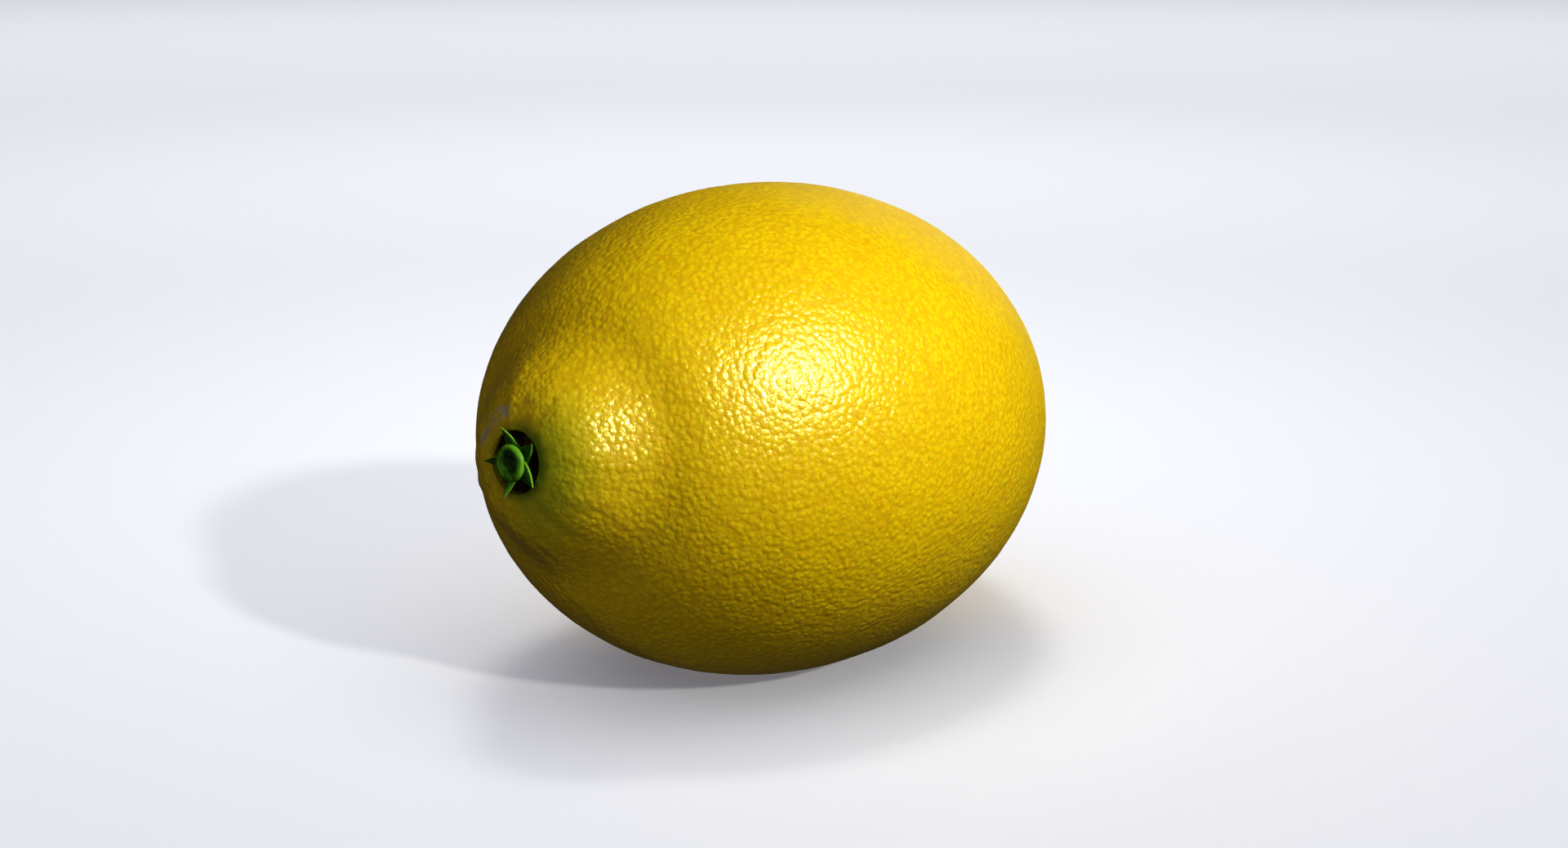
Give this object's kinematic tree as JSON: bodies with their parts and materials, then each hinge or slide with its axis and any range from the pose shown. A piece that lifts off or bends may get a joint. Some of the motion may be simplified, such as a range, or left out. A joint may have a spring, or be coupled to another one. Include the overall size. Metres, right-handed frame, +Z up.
{
  "type": "whole lemon",
  "caption": "Whole lemon lying on its side: an oval fruit with a raised neck at the stem end, a nipple at the other end, and a cut green stem in a ring of pointed sepals.",
  "frame": {"origin": "middle of the small flat spot on the underside that the fruit rests on", "axes": "+Z up; X along the fruit's length, with the stem end towards -X and tipped 5 degrees upwards"},
  "size_m": [0.0913, 0.06, 0.0598],
  "materials": {
    "lemon_peel": "waxy yellow citrus rind, semi-gloss, pebbled with oil glands, greener round the stem",
    "stem_green": "fresh green cut stem, matt",
    "sepal_green": "dark green leafy sepals, matt"
  },
  "bodies": {
    "root": {"fruit": "lemon_peel", "stem_stub": "stem_green", "sepal_1": "sepal_green", "sepal_2": "sepal_green", "sepal_3": "sepal_green", "sepal_4": "sepal_green", "sepal_5": "sepal_green"}
  },
  "joints": []
}
